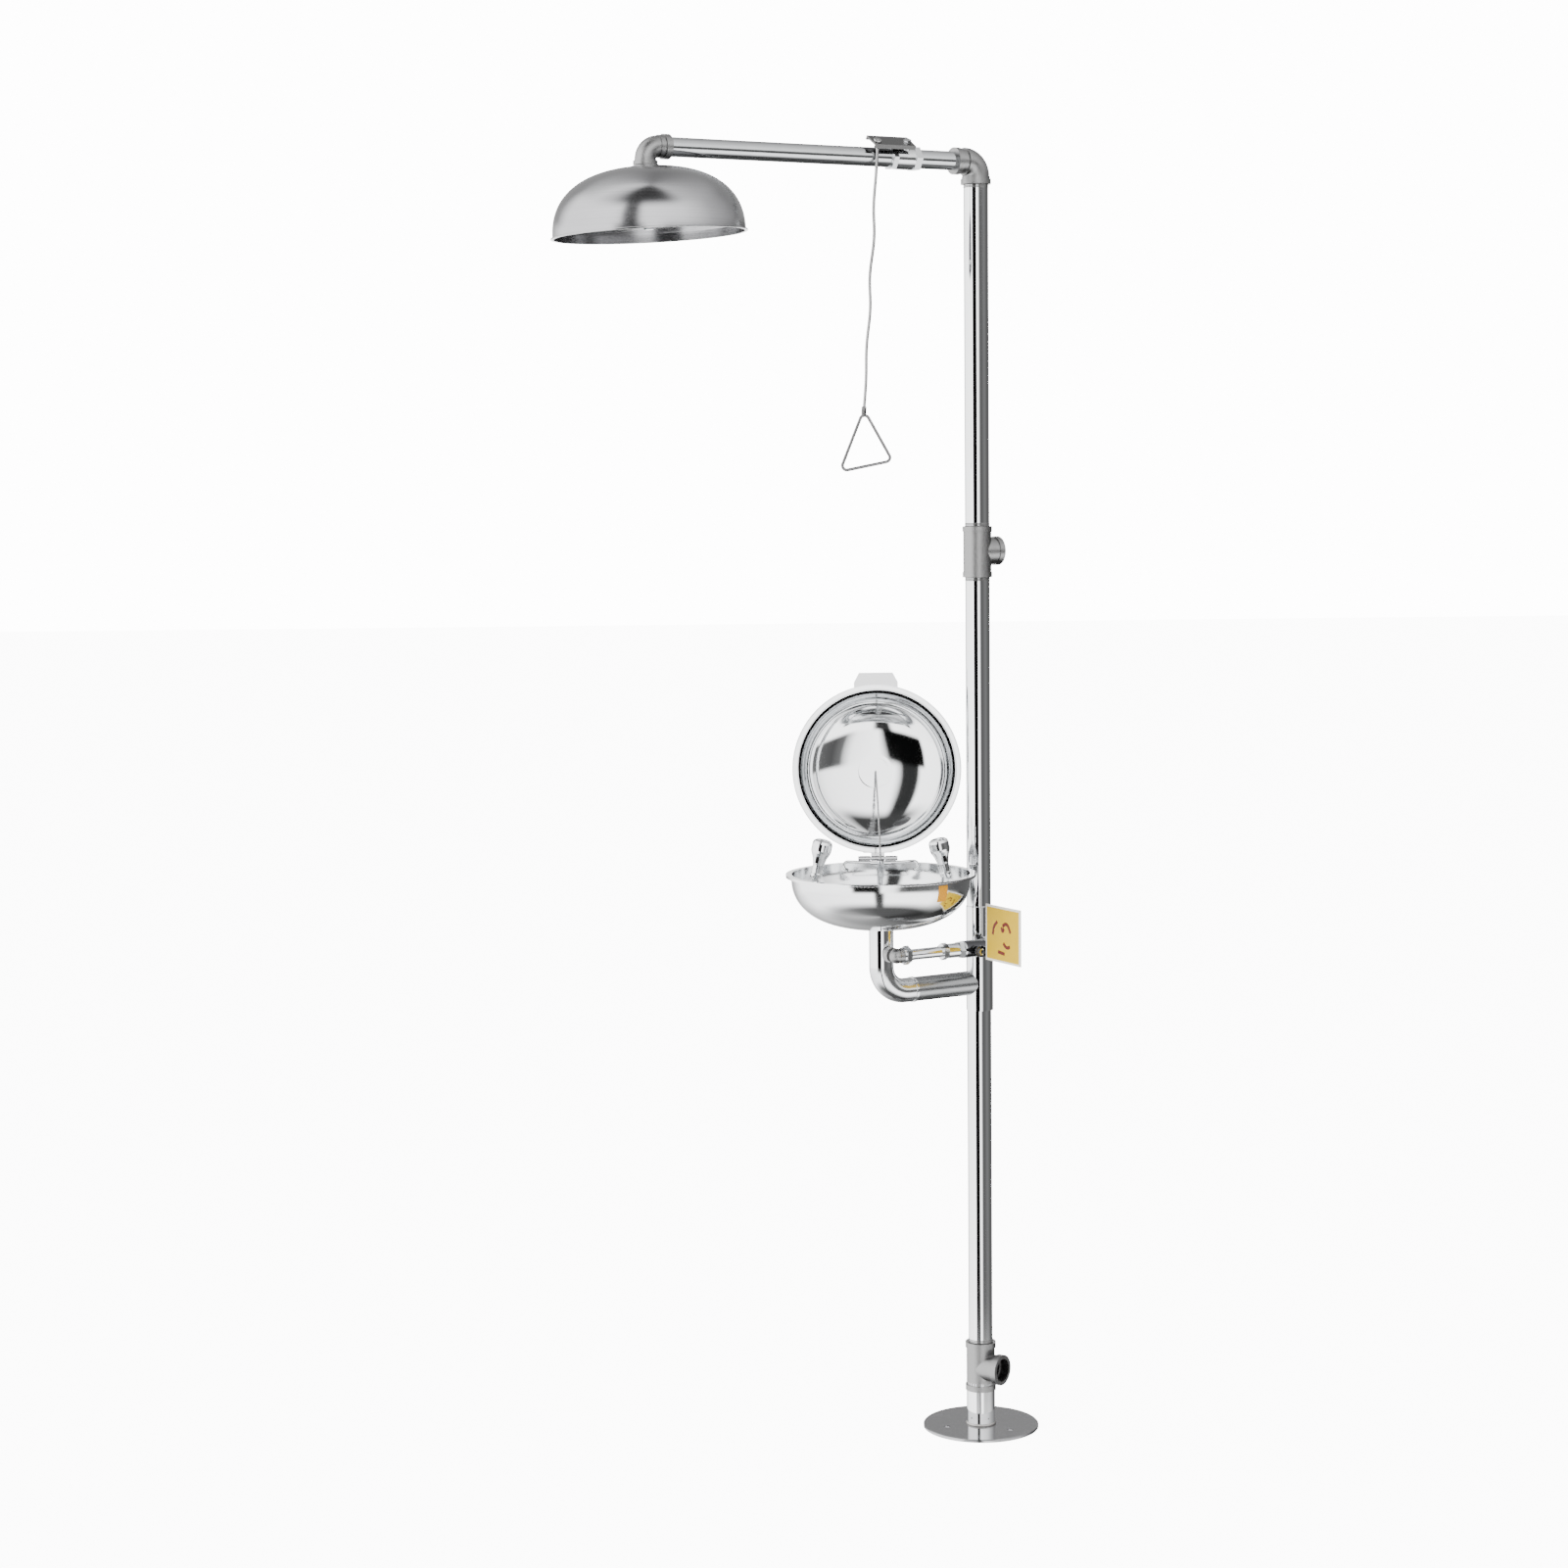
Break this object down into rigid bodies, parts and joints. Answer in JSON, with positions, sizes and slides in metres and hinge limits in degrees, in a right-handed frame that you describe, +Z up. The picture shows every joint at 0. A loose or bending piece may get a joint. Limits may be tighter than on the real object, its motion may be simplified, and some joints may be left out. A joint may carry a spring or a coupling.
{
  "type": "emergency shower with eyewash",
  "caption": "Free-standing steel emergency shower: overhead spray head with pull rod, and an eyewash bowl with hinged lid and push plate on the same pole.",
  "frame": {"origin": "centre of the foot's underside, on the pole's axis", "axes": "+Z up along the pole; the eyewash bowl and its lid face -Y; both arms leave the pole towards -X, turned 30 degrees towards -Y"},
  "size_m": [0.8108, 0.6514, 2.2593],
  "materials": {
    "polished_pipe": "polished",
    "satin_casting": "satin",
    "spun_steel": "brushed",
    "base_steel": "brushed",
    "mirror_steel": "polished",
    "chrome_trim": "polished",
    "dark_plated": "polished",
    "wire": "satin",
    "seat_plastic": "matte",
    "strainer": "satin",
    "filter_foam": "matte",
    "plate_white": "gloss",
    "label_yellow": "gloss",
    "label_amber": "gloss"
  },
  "bodies": {
    "stand": {"base_plate": "base_steel", "base_stub": "polished_pipe", "outlet_tee": "satin_casting", "lower_pipe": "polished_pipe", "manifold": "polished_pipe", "manifold_divider": "spun_steel", "middle_pipe": "polished_pipe", "inlet_tee": "satin_casting", "upper_pipe": "polished_pipe", "top_elbow": "satin_casting", "valve_nipple": "chrome_trim", "shower_valve_body": "chrome_trim", "shower_valve_end": "chrome_trim", "shower_valve_seats": "seat_plastic", "shower_arm": "polished_pipe", "head_elbow": "satin_casting", "head_spigot": "satin_casting", "head_nut": "satin_casting", "shower_head": "spun_steel", "spray_disc": "spun_steel", "spray_disc_screw": "chrome_trim", "drain_arm": "polished_pipe", "drain_bend": "satin_casting", "bowl_stem": "polished_pipe", "bowl": "mirror_steel", "bowl_strainer": "strainer", "feed_nipple": "chrome_trim", "feed_elbow_pole": "satin_casting", "eyewash_valve_body": "dark_plated", "eyewash_valve_end": "chrome_trim", "eyewash_valve_seats": "seat_plastic", "feed_pipe": "chrome_trim", "feed_union_nut": "chrome_trim", "feed_elbow_bowl": "satin_casting", "riser": "chrome_trim", "yoke": "chrome_trim", "nozzle_left": "chrome_trim", "nozzle_right": "chrome_trim", "nozzle_filters": "filter_foam", "chain_post": "dark_plated", "hinge_bracket": "chrome_trim", "hinge_pin": "dark_plated", "hinge_rivets": "dark_plated", "bowl_label": "label_amber", "lid_chain": "wire"},
    "lid_body": {"lid": "mirror_steel", "lid_tab": "chrome_trim", "lid_boss": "mirror_steel", "lid_hinge_leaf": "chrome_trim"},
    "lever_body": {"shower_lever": "satin_casting", "shower_stem": "chrome_trim", "shower_ball": "chrome_trim", "lever_nut": "chrome_trim"},
    "rod_body": {"pull_rod": "wire", "pull_handle": "wire"},
    "flag_body": {"flag_bracket": "dark_plated", "flag_plate": "plate_white", "flag_label": "label_yellow", "eyewash_stem_ball": "dark_plated", "flag_nut": "chrome_trim"}
  },
  "joints": [
    {"name": "lid_hinge", "type": "hinge", "parent": "stand", "child": "lid_body", "pos_m": [-0.17494, 0.058, 1.015], "axis": [1, 0, 0], "range_deg": [0, 98], "deforming": ["lid_chain"]},
    {"name": "shower_valve", "type": "hinge", "parent": "stand", "child": "lever_body", "pos_m": [-0.12817, -0.074, 2.224], "axis": [0.2575, -0.446, 0.8572], "range_deg": [0, 90]},
    {"name": "pull_rod_swing", "type": "hinge", "parent": "lever_body", "child": "rod_body", "pos_m": [-0.1715, -0.12296, 2.25074], "axis": [0.2575, -0.446, 0.8572], "range_deg": [-90, 0]},
    {"name": "eyewash_valve", "type": "hinge", "parent": "stand", "child": "flag_body", "pos_m": [-0.02176, -0.0703, 0.871], "axis": [-0.5, 0.866, 0], "range_deg": [0, 90]}
  ],
  "couplings": [
    {"joint": "pull_rod_swing", "follows": "shower_valve", "ratio": -1}
  ]
}
